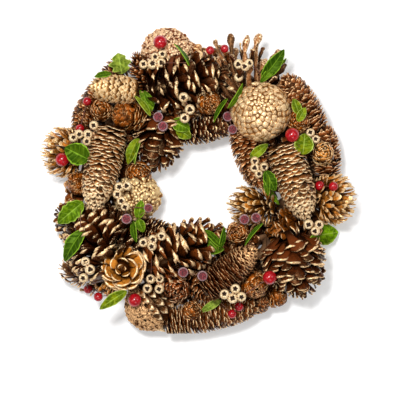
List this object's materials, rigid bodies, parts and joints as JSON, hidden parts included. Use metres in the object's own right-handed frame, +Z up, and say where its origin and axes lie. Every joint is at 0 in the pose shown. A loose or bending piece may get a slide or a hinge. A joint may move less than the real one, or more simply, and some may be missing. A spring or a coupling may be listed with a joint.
{
  "type": "pinecone wreath",
  "caption": "Round wreath of gilded spruce and pine cones on a twisted vine ring, with green leaves, red and frosted berries and gold seed pods; lies flat on its back.",
  "frame": {"origin": "middle of the wreath's box seen from above, at the flat underside of the vine ring", "axes": "+Z up from the surface that the wreath lies on, towards a viewer of its face; +Y towards the top of the wreath as it hangs; +X to the right as its face is seen"},
  "size_m": [0.36, 0.3469, 0.09],
  "materials": {
    "vine": "rough twisted vine",
    "gold_cone": "dry cone scales brushed with pale gold paint, brown in the gaps",
    "brown_cone": "lacquered brown cone scales with pale gold tips",
    "leaf": "green leaf with pale edges and veins, soft sheen",
    "red_berry": "glossy deep red berry",
    "frosted_berry": "maroon berry under a pale frosting",
    "pod": "seed pod painted pale gold with a dark mouth",
    "stem": "thin brown stem"
  },
  "bodies": {
    "root": {"vine_ring": "vine", "cone_spruce_right": "gold_cone", "cone_spruce_left": "gold_cone", "cone_spruce_gold_upper_left": "gold_cone", "cone_spruce_lower_right": "brown_cone", "cone_disc_gold": "gold_cone", "cone_rosette_lower_left": "brown_cone", "cone_small_upper_left_brown": "brown_cone", "cone_small_top_gold_tip": "brown_cone", "cone_pine_top": "brown_cone", "cone_pine_bottom": "brown_cone", "cone_pine_lower_left": "brown_cone", "cone_pine_lower_right": "brown_cone", "cone_round_lower_right": "brown_cone", "cone_small_inner_right": "brown_cone", "cone_rosette_upper_left": "brown_cone", "cone_small_right": "brown_cone", "cone_small_tan_right": "gold_cone", "cone_spiky_upper_left": "brown_cone", "cone_fan_top": "brown_cone", "cone_pine_inner_top_left": "brown_cone", "cone_spruce_inner_right": "brown_cone", "cone_spruce_inner_top": "brown_cone", "cone_spruce_right_rim": "brown_cone", "cone_spruce_upper_right": "brown_cone", "cone_spruce_left_rim": "brown_cone", "cone_dome_gold_top": "gold_cone", "cone_dome_gold_left": "gold_cone", "cone_dome_gold_bottom": "gold_cone", "cone_rosette_left": "brown_cone", "cone_rosette_inner_left": "brown_cone", "cone_dark_bottom": "brown_cone", "cone_fan_left": "gold_cone", "cone_fan_right": "gold_cone", "cone_fan_inner_right": "gold_cone", "cone_pine_right": "brown_cone", "cone_spruce_bottom_rim": "brown_cone", "cone_spruce_bottom": "brown_cone", "cone_spruce_inner_bottom": "brown_cone", "cone_spiky_lower_left": "brown_cone", "cone_small_lower_left": "brown_cone", "cone_small_bottom": "brown_cone", "cone_small_lower_right": "brown_cone", "pick_top_left": "leaf", "pick_left": "leaf", "pick_upper_left": "leaf", "pick_top": "leaf", "pick_top_right": "leaf", "pick_middle_top": "leaf", "pick_upper_right": "leaf", "pick_inner_right": "leaf", "pick_right": "leaf", "pick_lower_right": "leaf", "pick_inner_bottom_right": "leaf", "pick_bottom_right": "leaf", "pick_bottom": "leaf", "pick_bottom_left": "leaf", "pick_lower_left": "leaf", "pick_inner_left": "leaf", "pick_inner_bottom_left": "leaf"}
  },
  "joints": []
}
